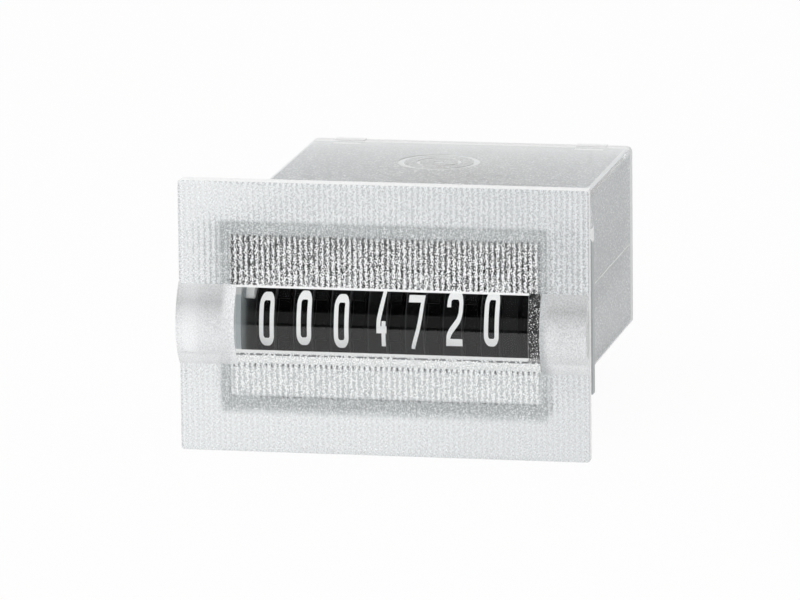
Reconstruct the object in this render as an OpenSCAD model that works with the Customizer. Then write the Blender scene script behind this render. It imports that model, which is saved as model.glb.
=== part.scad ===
// Panel counter: a pulse counter with seven number wheels behind a magnifying lens band.
// X runs to the right of the front face, Y runs back through the panel and Z is up.
// The origin is the centre of the bezel's back face, where the bezel meets the panel.

/* [Number wheels] */
// Distance from one numeral to the next
wheel_pitch = 2.75; // [2.65:0.05:3.2]
// Outer radius of a number wheel
wheel_r = 4.6; // [4.4:0.1:5.4]
// Width of the rim that carries the numerals
rim_w = 1.38; // [1.2:0.02:1.5]
// Wall of the rim
rim_t = 0.5; // [0.3:0.05:0.8]
// Web between the rim and the hub
web_t = 0.5; // [0.3:0.05:0.9]
// Diameter of the hub on the shaft
hub_d = 2.4; // [2:0.1:3]
// Width of the locking disc on a wheel's left side
disc_w = 0.34; // [0.25:0.01:0.4]
// Diameter of the shaft that carries the number wheels
shaft_d = 1.2; // [0.8:0.1:1.5]
// Room between the left cheek and the first rim
left_room = 0.81; // [0.5:0.05:1.5]

/* [Transfer pinions] */
// Diameter of the shaft that carries the pinions
pinion_shaft_d = 0.8; // [0.6:0.1:1]
// Room between the rims and the pinion shaft
shaft_room = 0.18; // [0.1:0.02:0.4]

/* [Drive] */
// Width of the plain drum on the drive wheel
drum_w = 1.2; // [0.9:0.1:1.6]
// How far the drum lies below the number rims
drum_step = 0.2; // [0.1:0.05:0.4]
// Tip radius of the escape teeth
escape_r = 3.6; // [3.2:0.1:3.8]
// Depth of the escape teeth
escape_depth = 0.8; // [0.5:0.1:1]
// Width of the escape teeth and of the anchor that works on them
escape_w = 0.8; // [0.6:0.1:1]
// Room between the escape teeth and the right cheek
right_room = 0.2; // [0.12:0.01:0.4]
// Gap between the pallets and the escape teeth
pallet_gap = 0.15; // [0.1:0.05:0.3]

/* [Magnet] */
// Diameter of the iron core
core_d = 3; // [2.4:0.1:3.4]
// Diameter of the pole shoe at the core's front
shoe_d = 4.4; // [4:0.1:5]
// Thickness of the pole shoe
shoe_t = 0.4; // [0.3:0.05:0.8]
// Length of the bobbin
bobbin_l = 12.5; // [10:0.5:16]
// Wall of the bobbin's barrel
barrel_t = 0.55; // [0.4:0.05:0.8]
// Width of the bobbin's flanges
flange_w = 9.4; // [9.2:0.1:9.6]
// Room above the bobbin's flanges
coil_room = 0.7; // [0.4:0.05:1.5]
// Thickness of the front flange
flange_t = 0.7; // [0.5:0.1:1]
// Thickness of the rear flange, which holds the terminals
rear_flange_t = 1.6; // [1.5:0.1:2.2]
// How far the flanges stand out past the winding
winding_lip = 0.4; // [0.2:0.05:1]
// Thickness of the yoke's strip
yoke_t = 1; // [0.8:0.1:1.2]
// Width of the yoke's strip
yoke_w = 6.4; // [5:0.1:6.6]
// Thickness of the armature
armature_t = 0.9; // [0.7:0.05:1.1]
// Width of the armature
armature_w = 8.4; // [7.5:0.1:8.6]
// Gap that stays between the pulled armature and the pole shoe
pole_gap = 0.07; // [0.05:0.01:0.2]
// Angle through which the magnet pulls the armature
pull_deg = 4; // [3:0.5:6]
// Diameter of the armature's pivot pin
pivot_d = 0.8; // [0.6:0.05:0.9]
// Wire of the return spring
wire_d = 0.16; // [0.1:0.02:0.24]

/* [Frame] */
// Thickness of the frame's cheeks
cheek_t = 0.8; // [0.6:0.05:1.2]
// Thickness of the cross wall behind the wheels
cross_t = 0.8; // [0.6:0.05:1.2]
// Thickness of the apron in front of the wheels
apron_t = 0.6; // [0.4:0.05:0.8]
// Thickness of the frame's roof and floor
floor_t = 0.35; // [0.3:0.05:0.6]

/* [Case] */
// Wall of the body
wall = 0.9; // [0.7:0.05:1.4]
// Radius of the body's long edges
edge_r = 0.4; // [0.2:0.05:0.6]
// Room between the number wheels and the body's floor
floor_room = 0.5; // [0.45:0.05:1]
// Room between the number wheels and the front wall
front_room = 1.35; // [1.2:0.05:2]
// Thickness of the bezel
bezel_t = 1.4; // [1.3:0.05:2]
// Thickness of the front wall inside the body's outline
front_wall = 1.2; // [1:0.05:1.3]
// How far the bezel stands out past the body's sides
overhang_x = 2.75; // [2.5:0.05:4]
// How far the bezel stands out past the body's top and bottom
overhang_z = 3.1; // [2:0.05:4]
// Bevel along the bezel's front edges
bezel_bevel = 0.15; // [0.05:0.05:0.3]
// Pitch of the fine upright ribs on the bezel
rib_pitch = 0.4; // [0.3:0.05:0.8]
// Depth of the grooves between the ribs
rib_depth = 0.08; // [0.04:0.01:0.15]

/* [Lens band] */
// Radius of the lens
lens_r = 4.13; // [3.6:0.05:5]
// How far the lens stands out of the bezel
lens_bulge = 1.21; // [0.8:0.05:1.4]
// Height of the lens axis
lens_z = -0.53; // [-0.8:0.01:0]
// Height of the polished window on the inside
window_h = 3.8; // [3.6:0.1:4.2]
// How far the window's middle stands above the lens axis
window_rise = 0.33; // [0:0.01:0.4]
// Depth to which the window is polished into the front wall
window_step = 0.1; // [0.05:0.05:0.2]

/* [Snap arms] */
// Gap between the bezel and the arms, for the panel
panel_gap = 2.1; // [2.05:0.05:4]
// How far an arm's tip stands out of the body's side
arm_reach = 2.25; // [1.5:0.05:2.4]
// Length of an arm from its root to its tip
arm_l = 12; // [8:0.5:15]
// Height of an arm
arm_h = 11.3; // [6:0.1:11.8]
// Thickness of an arm
arm_t = 0.8; // [0.6:0.05:1]

/* [Rear] */
// Thickness of the rear cover
cover_t = 1.25; // [1:0.05:2]
// How far the cover's skirt reaches into the body
skirt_l = 1.25; // [1.1:0.05:1.5]
// Thickness of the skirt
skirt_t = 0.8; // [0.6:0.05:1.2]
// Width of a snap lug
lug_w = 2.2; // [1.5:0.1:3]
// Distance of the snap lugs from the middle
lug_x = 9.25; // [7:0.05:9.5]
// How far a snap lug stands out of the body's wall
lug_proud = 0.08; // [0.04:0.02:0.2]
// Width of a terminal tab
tab_w = 2.8; // [2:0.1:4.8]
// Thickness of a terminal tab
tab_t = 0.5; // [0.4:0.05:0.6]
// Distance of the terminal tabs from the middle
tab_x = 4; // [3.8:0.05:4.1]
// How far the terminal tabs stand out of the rear cover
tab_out = 5.5; // [4:0.1:8]

/* [Clearances] */
// Radial clearance of a turning bore on its shaft
run_gap = 0.03; // [0.02:0.01:0.06]
// Clearance of a piece fixed in its seat
seat_gap = 0.02; // [0.01:0.01:0.03]
// Clearance between the frame or the cover and the body
case_gap = 0.025; // [0.02:0.005:0.06]
// Clearance between neighbours that turn side by side
side_gap = 0.08; // [0.06:0.01:0.1]

/* [Hidden] */
$fn = 48;
// Depth to which shapes of one piece reach into each other
eps = 0.01;
// How far a cutting shape runs past what it cuts
over = 1;

// Places along X, counted from the inner faces of the two cheeks
last_wheel = 6;
drive_w = drum_w + side_gap + escape_w;
right_stack = rim_w / 2 + side_gap + drive_w + right_room;
mech_w = left_room + rim_w / 2 + last_wheel * wheel_pitch + right_stack;
cheek_x = mech_w / 2;
function wheel_x(i) = -cheek_x + left_room + rim_w / 2 + i * wheel_pitch;
drive_x = wheel_x(last_wheel) + rim_w / 2 + side_gap;
escape_x = drive_x + drum_w + side_gap;
cavity_w = mech_w + 2 * (cheek_t + case_gap);
body_w = cavity_w + 2 * wall;
bezel_w = body_w + 2 * overhang_x;

// Places along Z, counted from the lens; the wheels lie a little lower, for a view from above
sight_drop = 0.27;
axis_z = lens_z - sight_drop;
cavity_h = 2 * (wheel_r + floor_room - axis_z);
body_h = cavity_h + 2 * wall;
bezel_h = body_h + 2 * overhang_z;
frame_z = cavity_h / 2 - case_gap;

// Teeth of the transfer gears, whose centre distance keeps the pinion shaft clear of the rims
gear_teeth = 20;
pinion_teeth = 8;
centres = wheel_r + pinion_shaft_d / 2 + shaft_room;
tooth_m = 2 * centres / (gear_teeth + pinion_teeth);
gear_pitch_r = gear_teeth * tooth_m / 2;
pinion_pitch_r = pinion_teeth * tooth_m / 2;
gear_addendum = 0.7;
gear_dedendum = 1.1;
pinion_addendum = 0.8;
pinion_dedendum = 1;
gear_radii = gear_pitch_r * [1, 1, 1] + tooth_m * [-gear_dedendum, 0, gear_addendum];
pinion_radii = pinion_pitch_r * [1, 1, 1] + tooth_m * [-pinion_dedendum, 0, pinion_addendum];
pinion_tip_r = pinion_radii[2];
// The locking disc stays clear of the long pinion teeth all round
disc_gap = 0.1;
disc_r = centres - pinion_tip_r - disc_gap;
gear_w = wheel_pitch - rim_w - disc_w - 2 * side_gap;

// Places along Y, from the front wall to the rear cover
cavity_y = front_wall - bezel_t;
axis_y = cavity_y + front_room + wheel_r;
pinion_y = axis_y + centres;
pinion_room = 0.3;
cross_y = pinion_y + pinion_tip_r + pinion_room;
cross_rear_y = cross_y + cross_t;
knuckle_t = 0.45;
swing_gap = 0.1;
knuckle_r = pivot_d / 2 + knuckle_t;
pivot_y = cross_rear_y + knuckle_r + swing_gap;
pivot_z = -frame_z + knuckle_r + swing_gap;

// The magnet stands on the yoke's strip, which lies on the frame's floor
floor_z = -frame_z + floor_t;
yoke_top_z = floor_z + yoke_t;
coil_gap = 0.1;
flange_h = frame_z - coil_room - yoke_top_z - coil_gap;
coil_z = yoke_top_z + coil_gap + flange_h / 2;
winding_d = min(flange_w, flange_h) - 2 * winding_lip;
shoe_top_z = coil_z + shoe_d / 2;
air_gap = (shoe_top_z - pivot_z) * tan(pull_deg) + pole_gap;
armature_y = pivot_y - armature_t / 2;
pole_y = armature_y + armature_t + air_gap;
bobbin_y = pole_y + shoe_t;
bobbin_rear_y = bobbin_y + bobbin_l;
yoke_y = bobbin_rear_y + 2 * seat_gap;
yoke_rear_y = yoke_y + yoke_t;
yoke_room = 0.2;
yoke_front_y = pivot_y + knuckle_r + yoke_room;
yoke_margin = 0.6;
yoke_back_top = shoe_top_z + yoke_margin;
stake_d = 1.2;
stake_inset = 2.5;
stake_ys = [bobbin_y + stake_inset, bobbin_rear_y - stake_inset];
rivet_t = 0.35;
rivet_lip = 0.4;
rear_room = 0.5;
skirt_y = yoke_rear_y + rivet_t + rear_room;
cheek_rear_y = skirt_y - case_gap;
body_d = skirt_y + skirt_l;
rear_y = body_d + cover_t;

// Draws a Y-Z outline and extrudes it along X
module along_x(x0, x1) { translate([x0, 0, 0]) rotate([90, 0, 90]) linear_extrude(x1 - x0) children(); }

// Draws an X-Z outline and extrudes it along Y
module along_y(y0, y1) { translate([0, y1, 0]) rotate([90, 0, 0]) linear_extrude(y1 - y0) children(); }

// Draws an X-Y outline and extrudes it along Z
module along_z(z0, z1) { translate([0, 0, z0]) linear_extrude(z1 - z0) children(); }

// A block between two corners
module block(low, high) { translate(low) cube(high - low); }

// A round bar along X
module bar_x(x0, x1, y, z, d) { along_x(x0, x1) translate([y, z]) circle(d = d); }

// A rectangle with round corners, from two squares and four circles
module round_rect(w, h, r) {
    square([w - 2 * r, h], center = true);
    square([w, h - 2 * r], center = true);
    for (sx = [-1, 1], sz = [-1, 1])
        translate([sx * (w / 2 - r), sz * (h / 2 - r)]) circle(r);
}

function polar(r, a) = [r * cos(a), r * sin(a)];

// A toothed outline: each tooth is given by its half widths at the root, the pitch circle and the tip
function teeth(n, radii, shares, start) = [
    for (i = [0 : n - 1], k = [-2.5 : 1 : 2.5])
        let (j = 2.5 - abs(k), side = sign(k), half = shares[j] * 180 / n)
        polar(radii[j], start + i * 360 / n + side * half)
];

lens_y = -bezel_t - lens_bulge + lens_r;
lens_half = sqrt(pow(lens_r, 2) - pow(lens_r - lens_bulge, 2));
band_margin = 0.1;
ridge_drop = 0.01;

// Grooves between the upright ribs, from one height to another
module rib_grooves(z0, z1) {
    count = ceil(bezel_w / rib_pitch);
    crest = -bezel_t + ridge_drop;
    along_z(z0, z1) polygon(concat(
        [for (i = [0 : 2 * count])
            [(i / 2 - count / 2) * rib_pitch, i % 2 == 0 ? crest : crest + rib_depth]],
        [[count / 2 * rib_pitch, -bezel_t - over], [-count / 2 * rib_pitch, -bezel_t - over]]));
}

// The bezel's plate with bevelled front edges and ribs above and below the lens band
module bezel_plate() {
    hw = bezel_w / 2;
    hh = bezel_h / 2;
    difference() {
        block([-hw, -bezel_t, -hh], [hw, 0, hh]);
        for (s = [-1, 1]) {
            along_x(-hw - over, hw + over) translate([-bezel_t, s * hh])
                rotate(45) square(bezel_bevel * sqrt(2), center = true);
            along_z(-hh - over, hh + over) translate([s * hw, -bezel_t])
                rotate(45) square(bezel_bevel * sqrt(2), center = true);
        }
        rib_grooves(lens_z + lens_half + band_margin, hh + over);
        rib_grooves(-hh - over, lens_z - lens_half - band_margin);
    }
}

// The lens: the front slice of a round bar that runs across the whole bezel
module lens_band() {
    intersection() {
        bar_x(-bezel_w / 2, bezel_w / 2, lens_y, lens_z, 2 * lens_r);
        block([-bezel_w, -bezel_t - lens_r, -bezel_h], [bezel_w, -bezel_t / 2, bezel_h]);
    }
}

arm_root_y = panel_gap + arm_l;
arm_land = 0.85;
arm_ramp = 0.8;
arm_nose = 0.1;
arm_corner = 0.8;

// One snap arm: flared from its root on the body's side to a hooked tip behind the bezel
module snap_arm() {
    side_x = body_w / 2;
    tip_x = side_x + arm_reach;
    root_x = side_x - wall / 2;
    half = arm_h / 2;
    corner_y = panel_gap + arm_corner;
    intersection() {
        along_z(-half, half) polygon([
            [root_x, arm_root_y + over], [side_x + eps, arm_root_y + over],
            [tip_x, panel_gap + arm_ramp + arm_land], [tip_x, panel_gap + arm_ramp],
            [tip_x - arm_t, panel_gap], [tip_x - arm_t - arm_nose, panel_gap], [root_x, arm_root_y - arm_t]
        ]);
        along_x(root_x - over, tip_x + over) polygon([
            [arm_root_y + 2 * over, -half], [arm_root_y + 2 * over, half], [corner_y, half],
            [panel_gap, half - arm_corner], [panel_gap, -half + arm_corner], [corner_y, -half]
        ]);
    }
}

lug_l = 0.6;
lug_inset = 0.3;
lug_y = skirt_y + lug_inset;
gate_x = -0.9;
gate_back = 8.5;
gate_d = 6.2;
gate_ring = 0.5;
gate_depth = 0.06;

// The moulding's gate mark: a shallow round groove on the body's top
module gate_mark() {
    translate([gate_x, rear_y - gate_back, body_h / 2 - gate_depth]) difference() {
        cylinder(d = gate_d, h = over);
        translate([0, 0, -over]) cylinder(d = gate_d - 2 * gate_ring, h = 3 * over);
    }
}

window_z = lens_z + window_rise;

module case() {
    color("whitesmoke", 0.5) difference() {
        union() {
            bezel_plate();
            lens_band();
            along_y(-bezel_t / 2, body_d) round_rect(body_w, body_h, edge_r);
            snap_arm();
            mirror([1, 0, 0]) snap_arm();
        }
        along_y(cavity_y, body_d + over) square([cavity_w, cavity_h], center = true);
        block([-cheek_x, cavity_y - window_step, window_z - window_h / 2],
              [cheek_x, cavity_y + eps, window_z + window_h / 2]);
        for (sx = [-1, 1])
            translate([sx * lug_x, 0, 0])
                block([-lug_w / 2 - case_gap, lug_y - case_gap, -body_h],
                      [lug_w / 2 + case_gap, lug_y + lug_l + case_gap, body_h]);
        gate_mark();
    }
}

tab_gap = 0.1;

module rear_cover() {
    slot_t = tab_t / 2 + tab_gap;
    slot_w = tab_w / 2 + tab_gap;
    skirt_w = cavity_w - 2 * case_gap;
    skirt_h = cavity_h - 2 * case_gap;
    color("gainsboro", 0.6) difference() {
        union() {
            along_y(body_d, rear_y) round_rect(body_w, body_h, edge_r);
            along_y(skirt_y, body_d + eps) difference() {
                square([skirt_w, skirt_h], center = true);
                square([skirt_w - 2 * skirt_t, skirt_h - 2 * skirt_t], center = true);
            }
            for (sx = [-1, 1], sz = [-1, 1])
                translate([sx * lug_x, 0, 0]) mirror([0, 0, sz < 0 ? 1 : 0])
                    block([-lug_w / 2, lug_y, skirt_h / 2 - skirt_t],
                          [lug_w / 2, lug_y + lug_l, body_h / 2 + lug_proud]);
        }
        for (sx = [-1, 1])
            translate([sx * tab_x, 0, coil_z])
                block([-slot_t, body_d - over, -slot_w], [slot_t, rear_y + over, slot_w]);
    }
}

// The return spring's turns lie beside the armature, between its knuckle and the left ear
coil_sweep = 1020;
coil_pitch = wire_d + seat_gap;
coil_x = -armature_w / 2 - swing_gap - wire_d / 2;
spring_w = coil_pitch * coil_sweep / 360 + wire_d;

cheek_ahead = 3.25;
right_cheek_y = axis_y - cheek_ahead;
roof_ahead = 2.75;
roof_y = axis_y - roof_ahead;
apron_top_z = window_z - window_h / 2;
slot_side = 0.25;
slot_top = 0.6;
ear_t = 0.8;
ear_x = armature_w / 2 + swing_gap + spring_w + 2 * seat_gap;
boss_d = 1;
boss_rise = 1.45;

// The moulded frame: two cheeks, apron, roof, cross wall and the floor that carries the magnet
module mechanism_frame() {
    out_x = cheek_x + cheek_t;
    in_x = cheek_x + eps;
    front_y = cavity_y + case_gap;
    roof_z = frame_z - floor_t;
    color("gainsboro") difference() {
        union() {
            block([-out_x, front_y, -frame_z], [-cheek_x, cheek_rear_y, frame_z]);
            block([cheek_x, right_cheek_y, -frame_z], [out_x, cheek_rear_y, frame_z]);
            block([-in_x, front_y, -frame_z], [out_x, front_y + apron_t, apron_top_z]);
            block([cheek_x, front_y, -frame_z], [out_x, right_cheek_y + eps, apron_top_z]);
            block([-in_x, roof_y, roof_z], [in_x, cross_rear_y, frame_z]);
            block([-in_x, cross_y, -frame_z], [in_x, cross_rear_y, frame_z]);
            block([-in_x, yoke_front_y, -frame_z], [in_x, cheek_rear_y, floor_z]);
            for (s = [-1, 1])
                translate([s * (ear_x + ear_t / 2), 0, 0])
                    block([-ear_t / 2, cross_rear_y - eps, -frame_z],
                          [ear_t / 2, pivot_y + knuckle_r, pivot_z + knuckle_r]);
            for (y = stake_ys) translate([0, y, floor_z - eps]) cylinder(d = stake_d, h = yoke_t + eps);
            bar_x(-in_x, -cheek_x + left_room - side_gap, axis_y - wheel_r, axis_z + boss_rise, boss_d);
        }
        bar_x(-out_x - over, out_x + over, axis_y, axis_z, shaft_d + 2 * seat_gap);
        bar_x(-out_x - over, out_x + over, pinion_y, axis_z, pinion_shaft_d + 2 * seat_gap);
        bar_x(-ear_x - ear_t - over, ear_x + ear_t + over, pivot_y, pivot_z, pivot_d + 2 * seat_gap);
        block([escape_x - slot_side, cross_y - over, pivot_z],
              [cheek_x, cross_rear_y + over, roof_z - slot_top]);
    }
}

module number_shaft() {
    out_x = cheek_x + cheek_t;
    color("silver") bar_x(-out_x, out_x, axis_y, axis_z, shaft_d);
}

module pinion_shaft() {
    out_x = cheek_x + cheek_t;
    color("silver") bar_x(-out_x, out_x, pinion_y, axis_z, pinion_shaft_d);
}

gear_shares = [0.62, 0.44, 0.22];
pinion_shares = [0.42, 0.40, 0.18];
notch_at = -60;
notch_deg = 30;
notch_depth = 0.5;
peg_d = 0.9;
peg_r = 2.4;
peg_angles = [90, 270];

// Two low transfer teeth beside a notch in the locking disc, at the wheel's lower back
module disc_notch() {
    for (s = [-1, 0, 1])
        rotate(notch_at + s * notch_deg / 2)
            translate([disc_r, 0]) square([2 * notch_depth, notch_depth], center = true);
}

// One number wheel; the gear is on the right, the locking disc with its transfer notch on the left
module number_wheel(i, has_gear, has_disc) {
    x = wheel_x(i);
    left = x - rim_w / 2;
    right = x + rim_w / 2;
    color([0.1, 0.1, 0.1]) translate([0, axis_y, axis_z]) difference() {
        union() {
            along_x(left, right) difference() {
                circle(wheel_r);
                circle(wheel_r - rim_t);
            }
            along_x(x - web_t / 2, x + web_t / 2) circle(wheel_r - rim_t + eps);
            along_x(left - (has_disc ? disc_w : 0), right + (has_gear ? gear_w : 0)) circle(d = hub_d);
            if (has_gear)
                along_x(x, right + gear_w)
                    polygon(teeth(gear_teeth, gear_radii, gear_shares, 180 / gear_teeth));
            if (has_disc) along_x(left - disc_w, x) difference() {
                circle(disc_r);
                disc_notch();
            }
        }
        along_x(left - disc_w - over, right + gear_w + over) circle(d = shaft_d + 2 * run_gap);
        if (!has_gear)
            for (a = peg_angles)
                along_x(left, right + over) translate(polar(peg_r, a)) circle(d = peg_d + 2 * seat_gap);
    }
}

module millions_wheel() { number_wheel(0, true, false); }
module hundred_thousands_wheel() { number_wheel(1, true, true); }
module ten_thousands_wheel() { number_wheel(2, true, true); }
module thousands_wheel() { number_wheel(3, true, true); }
module hundreds_wheel() { number_wheel(4, true, true); }
module tens_wheel() { number_wheel(5, true, true); }
module units_wheel() { number_wheel(6, false, true); }

// One transfer pinion between wheel i and wheel i + 1; every other tooth reaches over the locking disc
module transfer_pinion(i) {
    left = wheel_x(i) + rim_w / 2 + side_gap;
    mid = left + gear_w - side_gap / 2;
    right = wheel_x(i + 1) - rim_w / 2 - side_gap;
    long_teeth = pinion_teeth / 2;
    color([0.2, 0.2, 0.2]) translate([0, pinion_y, axis_z]) difference() {
        union() {
            along_x(left, mid) polygon(teeth(pinion_teeth, pinion_radii, pinion_shares, 0));
            along_x(mid - eps, right)
                polygon(teeth(long_teeth, pinion_radii, pinion_shares / 2, 180 / long_teeth));
        }
        along_x(left - over, right + over) circle(d = pinion_shaft_d + 2 * run_gap);
    }
}

module millions_pinion() { transfer_pinion(0); }
module hundred_thousands_pinion() { transfer_pinion(1); }
module ten_thousands_pinion() { transfer_pinion(2); }
module thousands_pinion() { transfer_pinion(3); }
module hundreds_pinion() { transfer_pinion(4); }
module tens_pinion() { transfer_pinion(5); }

escape_teeth = 10;
escape_lean = 0.12;

// The drive wheel: a plain drum beside the units wheel and the escape teeth beside the right cheek
module drive_wheel() {
    step = 360 / escape_teeth;
    color([0.1, 0.1, 0.1]) translate([0, axis_y, axis_z]) difference() {
        union() {
            along_x(drive_x, drive_x + drum_w) circle(wheel_r - drum_step);
            along_x(drive_x + drum_w - eps, drive_x + drive_w) circle(escape_r - escape_depth + eps);
            along_x(escape_x, escape_x + escape_w) polygon([
                for (i = [0 : escape_teeth - 1], k = [0, 1])
                    polar(escape_r - k * escape_depth, (i + escape_lean * k) * step)
            ]);
            for (a = peg_angles)
                along_x(wheel_x(last_wheel) - web_t / 2, drive_x + eps)
                    translate(polar(peg_r, a)) circle(d = peg_d);
        }
        along_x(drive_x - over, drive_x + drive_w + over) circle(d = shaft_d + 2 * run_gap);
    }
}

module core() {
    color("lightslategray") translate([0, 0, coil_z]) {
        along_y(pole_y, bobbin_y - seat_gap) circle(d = shoe_d);
        along_y(pole_y, yoke_rear_y + rivet_t) circle(d = core_d);
        along_y(yoke_rear_y + seat_gap, yoke_rear_y + rivet_t) circle(d = core_d + 2 * rivet_lip);
    }
}

module yoke() {
    color("lightslategray") difference() {
        union() {
            block([-yoke_w / 2, yoke_front_y, floor_z], [yoke_w / 2, yoke_rear_y, yoke_top_z]);
            block([-yoke_w / 2, yoke_y, floor_z], [yoke_w / 2, yoke_rear_y, yoke_back_top]);
        }
        along_y(yoke_y - over, yoke_rear_y + over) translate([0, coil_z]) circle(d = core_d + 2 * seat_gap);
        for (y = stake_ys)
            translate([0, y, floor_z - over]) cylinder(d = stake_d + 2 * seat_gap, h = yoke_t + 2 * over);
    }
}

tab_seat = 1.2;

module bobbin() {
    bore_d = core_d + 2 * seat_gap;
    rear = bobbin_rear_y;
    color("ivory") translate([0, 0, coil_z]) difference() {
        union() {
            along_y(bobbin_y, rear) circle(d = bore_d + 2 * barrel_t);
            along_y(bobbin_y, bobbin_y + flange_t) square([flange_w, flange_h], center = true);
            along_y(rear - rear_flange_t, rear) square([flange_w, flange_h], center = true);
        }
        along_y(bobbin_y - over, rear + over) circle(d = bore_d);
        for (sx = [-1, 1]) translate([sx * tab_x, 0, 0])
            block([-tab_t / 2 - seat_gap, rear - tab_seat, -tab_w / 2 - seat_gap],
                  [tab_t / 2 + seat_gap, rear + over, tab_w / 2 + seat_gap]);
    }
}

module winding() {
    front = bobbin_y + flange_t + seat_gap;
    rear = bobbin_rear_y - rear_flange_t - seat_gap;
    inner_d = core_d + 4 * seat_gap + 2 * barrel_t;
    color("peru") translate([0, 0, coil_z]) along_y(front, rear) difference() {
        circle(d = winding_d);
        circle(d = inner_d);
    }
}

link_gap = 0.3;
link_z = shoe_top_z + link_gap;
link_h = 1;
link_l = 2.8;
armature_lip = 1;
armature_top = link_z + link_h + armature_lip;
heel_rise = 1.6;
heel_z = pivot_z + heel_rise;
heel_h = 1;
heel_l = 0.5;

// The armature: a flap with a rolled knuckle on the pin, a link for the anchor and a heel for the spring
module armature() {
    half = armature_w / 2;
    back_y = armature_y + armature_t;
    color("lightslategray") difference() {
        union() {
            block([-half, armature_y, pivot_z], [half, back_y, armature_top]);
            block([half - eps, armature_y, link_z], [half + link_l, back_y, link_z + link_h]);
            block([-half - heel_l, armature_y, heel_z], [-half + eps, back_y, heel_z + heel_h]);
            bar_x(-half, half, pivot_y, pivot_z, 2 * knuckle_r);
        }
        bar_x(-half - over, half + over, pivot_y, pivot_z, pivot_d + 2 * run_gap);
    }
}

grip_h = 0.9;
grip_t = 0.3;
grip_in = 0.5;
arm_half = 0.7;
stem_t = 0.9;
stem_room = 0.6;
nose_share = 0.72;
nose_w = 1;
mouth_half = 1.4;

// The anchor: a grip pressed on the armature's link, and a fork around the rear of the escape teeth
module anchor() {
    clear_r = escape_r + pallet_gap;
    hub_z = link_z + link_h / 2;
    arm_z = hub_z - arm_half;
    under_z = axis_z - escape_r + swing_gap;
    nose_y = axis_y + nose_share * escape_r;
    stem_y = pinion_y + pinion_shaft_d / 2 + stem_room;
    grip_y = cross_rear_y + swing_gap + eps;
    back_y = armature_y + armature_t;
    link_x = armature_w / 2 + link_l;
    top_z = hub_z + arm_half;
    foot_z = under_z - stem_t;
    color("dimgray") difference() {
        union() {
            block([flange_w / 2 + yoke_room, grip_y, hub_z - grip_h],
                  [escape_x + escape_w, back_y + grip_t, hub_z + grip_h]);
            along_x(escape_x, escape_x + escape_w) difference() {
                polygon([
                    [nose_y, foot_z], [stem_y + stem_t, foot_z], [stem_y + stem_t, arm_z],
                    [grip_y + grip_in, arm_z], [grip_y + grip_in, top_z], [nose_y, top_z]
                ]);
                translate([nose_y + nose_w, under_z]) square([stem_y - nose_y - nose_w, arm_z - under_z]);
                translate([nose_y - over, axis_z - mouth_half])
                    square([stem_y - nose_y + over, 2 * mouth_half]);
                for (a = [0, pull_deg])
                    translate([pivot_y, pivot_z]) rotate(a)
                        translate([axis_y - pivot_y, axis_z - pivot_z]) circle(clear_r);
            }
        }
        block([0, armature_y - seat_gap, link_z - seat_gap],
              [link_x + seat_gap, back_y + seat_gap, link_z + link_h + seat_gap]);
    }
}

module armature_pin() {
    color("silver") bar_x(-ear_x - ear_t, ear_x + ear_t, pivot_y, pivot_z, pivot_d);
}

// The return spring's path: a leg up the armature's back, turns around the pin and a tail over the floor
coil_r = armature_t / 2 + wire_d / 2 + seat_gap;
coil_step = 20;
tail_gap = 0.2;
tail_fall = pivot_z - coil_r * sin(coil_sweep) - floor_z - wire_d / 2 - tail_gap;
leg_h = heel_rise + heel_h;
leg_count = 3;
spring_path = concat(
    [for (k = [leg_count : -1 : 1]) [coil_x, pivot_y + coil_r, pivot_z + leg_h * k / leg_count]],
    [for (a = [0 : coil_step : coil_sweep])
        [coil_x - coil_pitch * a / 360, pivot_y + coil_r * cos(a), pivot_z - coil_r * sin(a)]],
    [for (k = [1 : leg_count])
        let (fall = tail_fall * k / leg_count)
        [coil_x - coil_pitch * coil_sweep / 360,
         pivot_y + coil_r * cos(coil_sweep) - fall * tan(coil_sweep),
         pivot_z - coil_r * sin(coil_sweep) - fall]]);

function unit(v) = v / norm(v);
function heading(p, i) = unit(p[min(i + 1, len(p) - 1)] - p[max(i - 1, 0)]);

// A wire swept along a path, with eight sides
module wire(path, d) {
    sides = 8;
    last = len(path) - 1;
    points = [for (i = [0 : last])
        let (t = heading(path, i), u = unit(cross(t, [1, 0, 0])), v = cross(t, u))
        for (k = [0 : sides - 1]) path[i] + d / 2 * (cos(k * 360 / sides) * u + sin(k * 360 / sides) * v)];
    walls = [for (i = [0 : last - 1], k = [0 : sides - 1])
        let (a = i * sides, n = (k + 1) % sides)
        [a + n, a + k, a + sides + k, a + sides + n]];
    polyhedron(points, concat(
        [[for (k = [0 : sides - 1]) k]], walls, [[for (k = [sides - 1 : -1 : 0]) last * sides + k]]));
}

module return_spring() { color("silver") wire(spring_path, wire_d); }

tab_nose = 0.6;

// A flat terminal tab, seated in the bobbin's rear flange and led out through the rear cover
module terminal(side) {
    half = tab_w / 2;
    root_y = bobbin_rear_y - tab_seat + seat_gap;
    end_y = rear_y + tab_out;
    color("silver") translate([side * tab_x, 0, coil_z]) along_x(-tab_t / 2, tab_t / 2) polygon([
        [root_y, -half], [end_y - tab_nose, -half], [end_y, -half + tab_nose],
        [end_y, half - tab_nose], [end_y - tab_nose, half], [root_y, half]
    ]);
}

module terminal_left() { terminal(-1); }
module terminal_right() { terminal(1); }

case();
rear_cover();
mechanism_frame();
number_shaft();
millions_wheel();
hundred_thousands_wheel();
ten_thousands_wheel();
thousands_wheel();
hundreds_wheel();
tens_wheel();
units_wheel();
drive_wheel();
pinion_shaft();
millions_pinion();
hundred_thousands_pinion();
ten_thousands_pinion();
thousands_pinion();
hundreds_pinion();
tens_pinion();
core();
yoke();
bobbin();
winding();
armature();
anchor();
armature_pin();
return_spring();
terminal_left();
terminal_right();
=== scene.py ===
import math

import bpy
from mathutils import Matrix, Vector


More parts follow.
